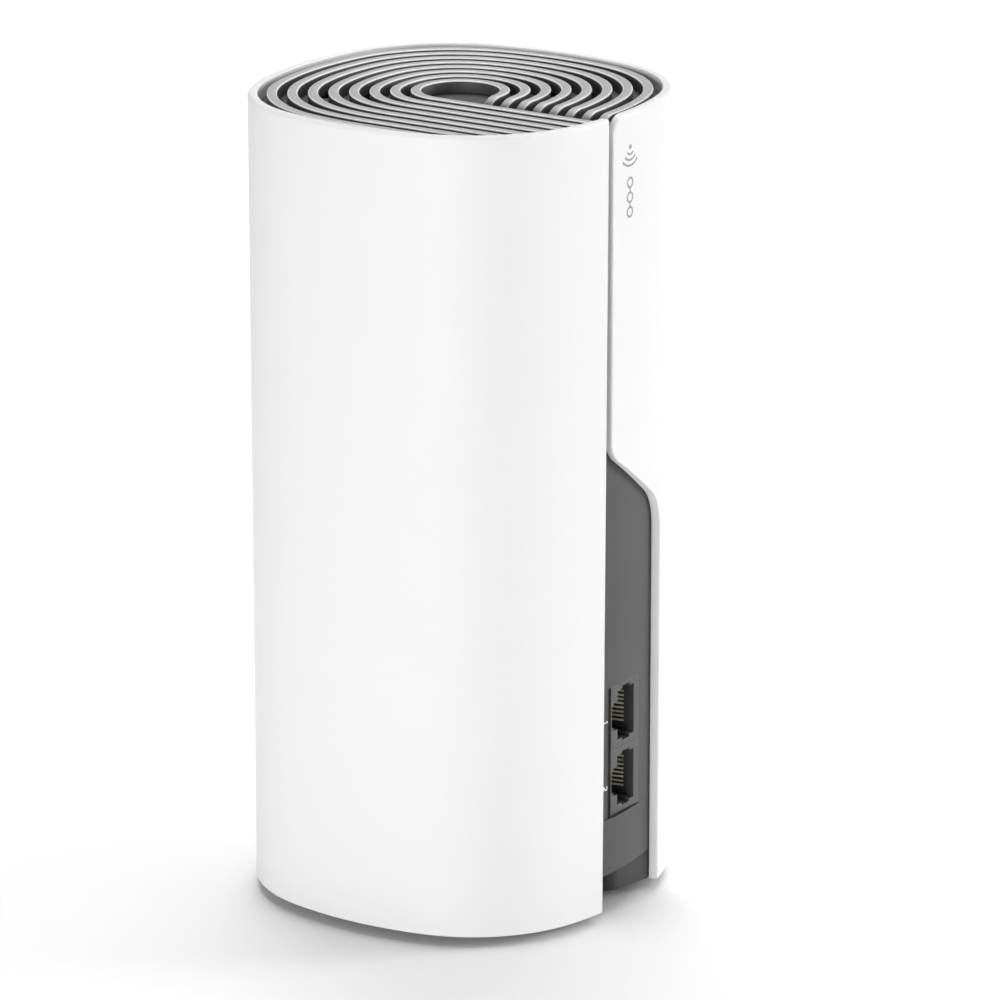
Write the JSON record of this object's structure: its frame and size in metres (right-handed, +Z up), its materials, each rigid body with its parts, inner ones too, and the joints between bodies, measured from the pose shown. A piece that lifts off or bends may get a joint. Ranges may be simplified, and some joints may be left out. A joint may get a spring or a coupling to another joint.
{
  "type": "mesh wifi node",
  "caption": "Upright mesh wifi node: a white rounded-square wrap-round sheet with a hooked-rib top grille, a rear slot that opens onto two stacked network ports, and a power well in the base.",
  "frame": {"origin": "on the floor, at the centre of the plan outline, at the height of the rubber feet's lower faces", "axes": "+Z up, along the unit's height; +Y towards the rear, where the slot and the Ethernet ports are; +X towards the long free edge of the wrap-round sheet"},
  "size_m": [0.0908, 0.0907, 0.19],
  "materials": {
    "shell_white": "satin white moulded plastic",
    "grille_grey": "light grey rib tops over dark sides",
    "dark_plastic": "matt dark grey moulded plastic",
    "panel_grey": "matt grey moulded plastic",
    "port_grey": "matt grey port housing",
    "rubber_pad": "matt dark rubber",
    "label_grey": "blank matt label",
    "screw_steel": "zinc plated",
    "board_green": "solder mask",
    "contact_gold": "gold plated spring wire",
    "chip_black": "moulded package",
    "clear_plastic": "clear moulded light guide",
    "led_white": "small white lamp",
    "shield_tin": "tinned pressed sheet",
    "pad_blue": "soft thermal pad",
    "capacitor_can": "sleeved can",
    "spreader_aluminium": "milled plate",
    "lead_grey": "thin coaxial lead"
  },
  "bodies": {
    "housing": {"outer_shell": "shell_white", "grille": "grille_grey", "top_cap": "dark_plastic", "rear_panel": "panel_grey", "chassis": "dark_plastic", "base_cover": "panel_grey", "rubber_feet": "rubber_pad", "base_label": "label_grey", "base_screws": "screw_steel", "main_board": "board_green", "ethernet_jack_1": "port_grey", "jack_1_contacts": "contact_gold", "lan_transformer_1": "chip_black", "ethernet_jack_2": "port_grey", "jack_2_contacts": "contact_gold", "lan_transformer_2": "chip_black", "power_socket": "chip_black", "power_socket_pin": "contact_gold", "power_socket_spring": "contact_gold", "reset_switch": "chip_black", "status_light_guide": "clear_plastic", "status_led": "led_white", "shield_processor": "shield_tin", "thermal_pad_processor": "pad_blue", "shield_radio_low_band": "shield_tin", "thermal_pad_radio_low_band": "pad_blue", "shield_radio_high_band": "shield_tin", "thermal_pad_radio_high_band": "pad_blue", "processor_chip": "chip_black", "memory_chip": "chip_black", "flash_chip": "chip_black", "radio_chip_low_band": "chip_black", "radio_chip_high_band": "chip_black", "capacitors": "capacitor_can", "power_inductor": "chip_black", "heat_spreader_port_side": "spreader_aluminium", "heat_spreader_plain_side": "spreader_aluminium", "spreader_screws": "screw_steel", "board_screws": "screw_steel", "antenna_left": "board_green", "antenna_lead_left": "lead_grey", "antenna_connector_left": "contact_gold", "antenna_right": "board_green", "antenna_lead_right": "lead_grey", "antenna_connector_right": "contact_gold"},
    "reset_button": {"reset_button": "port_grey", "reset_plunger": "port_grey"}
  },
  "joints": [
    {"name": "reset_press", "type": "slide", "parent": "housing", "child": "reset_button", "axis": [0, 0, 1], "range_m": [0, 0.0005], "stiffness_N_per_m": 3000, "springref_m": -0.0002}
  ]
}
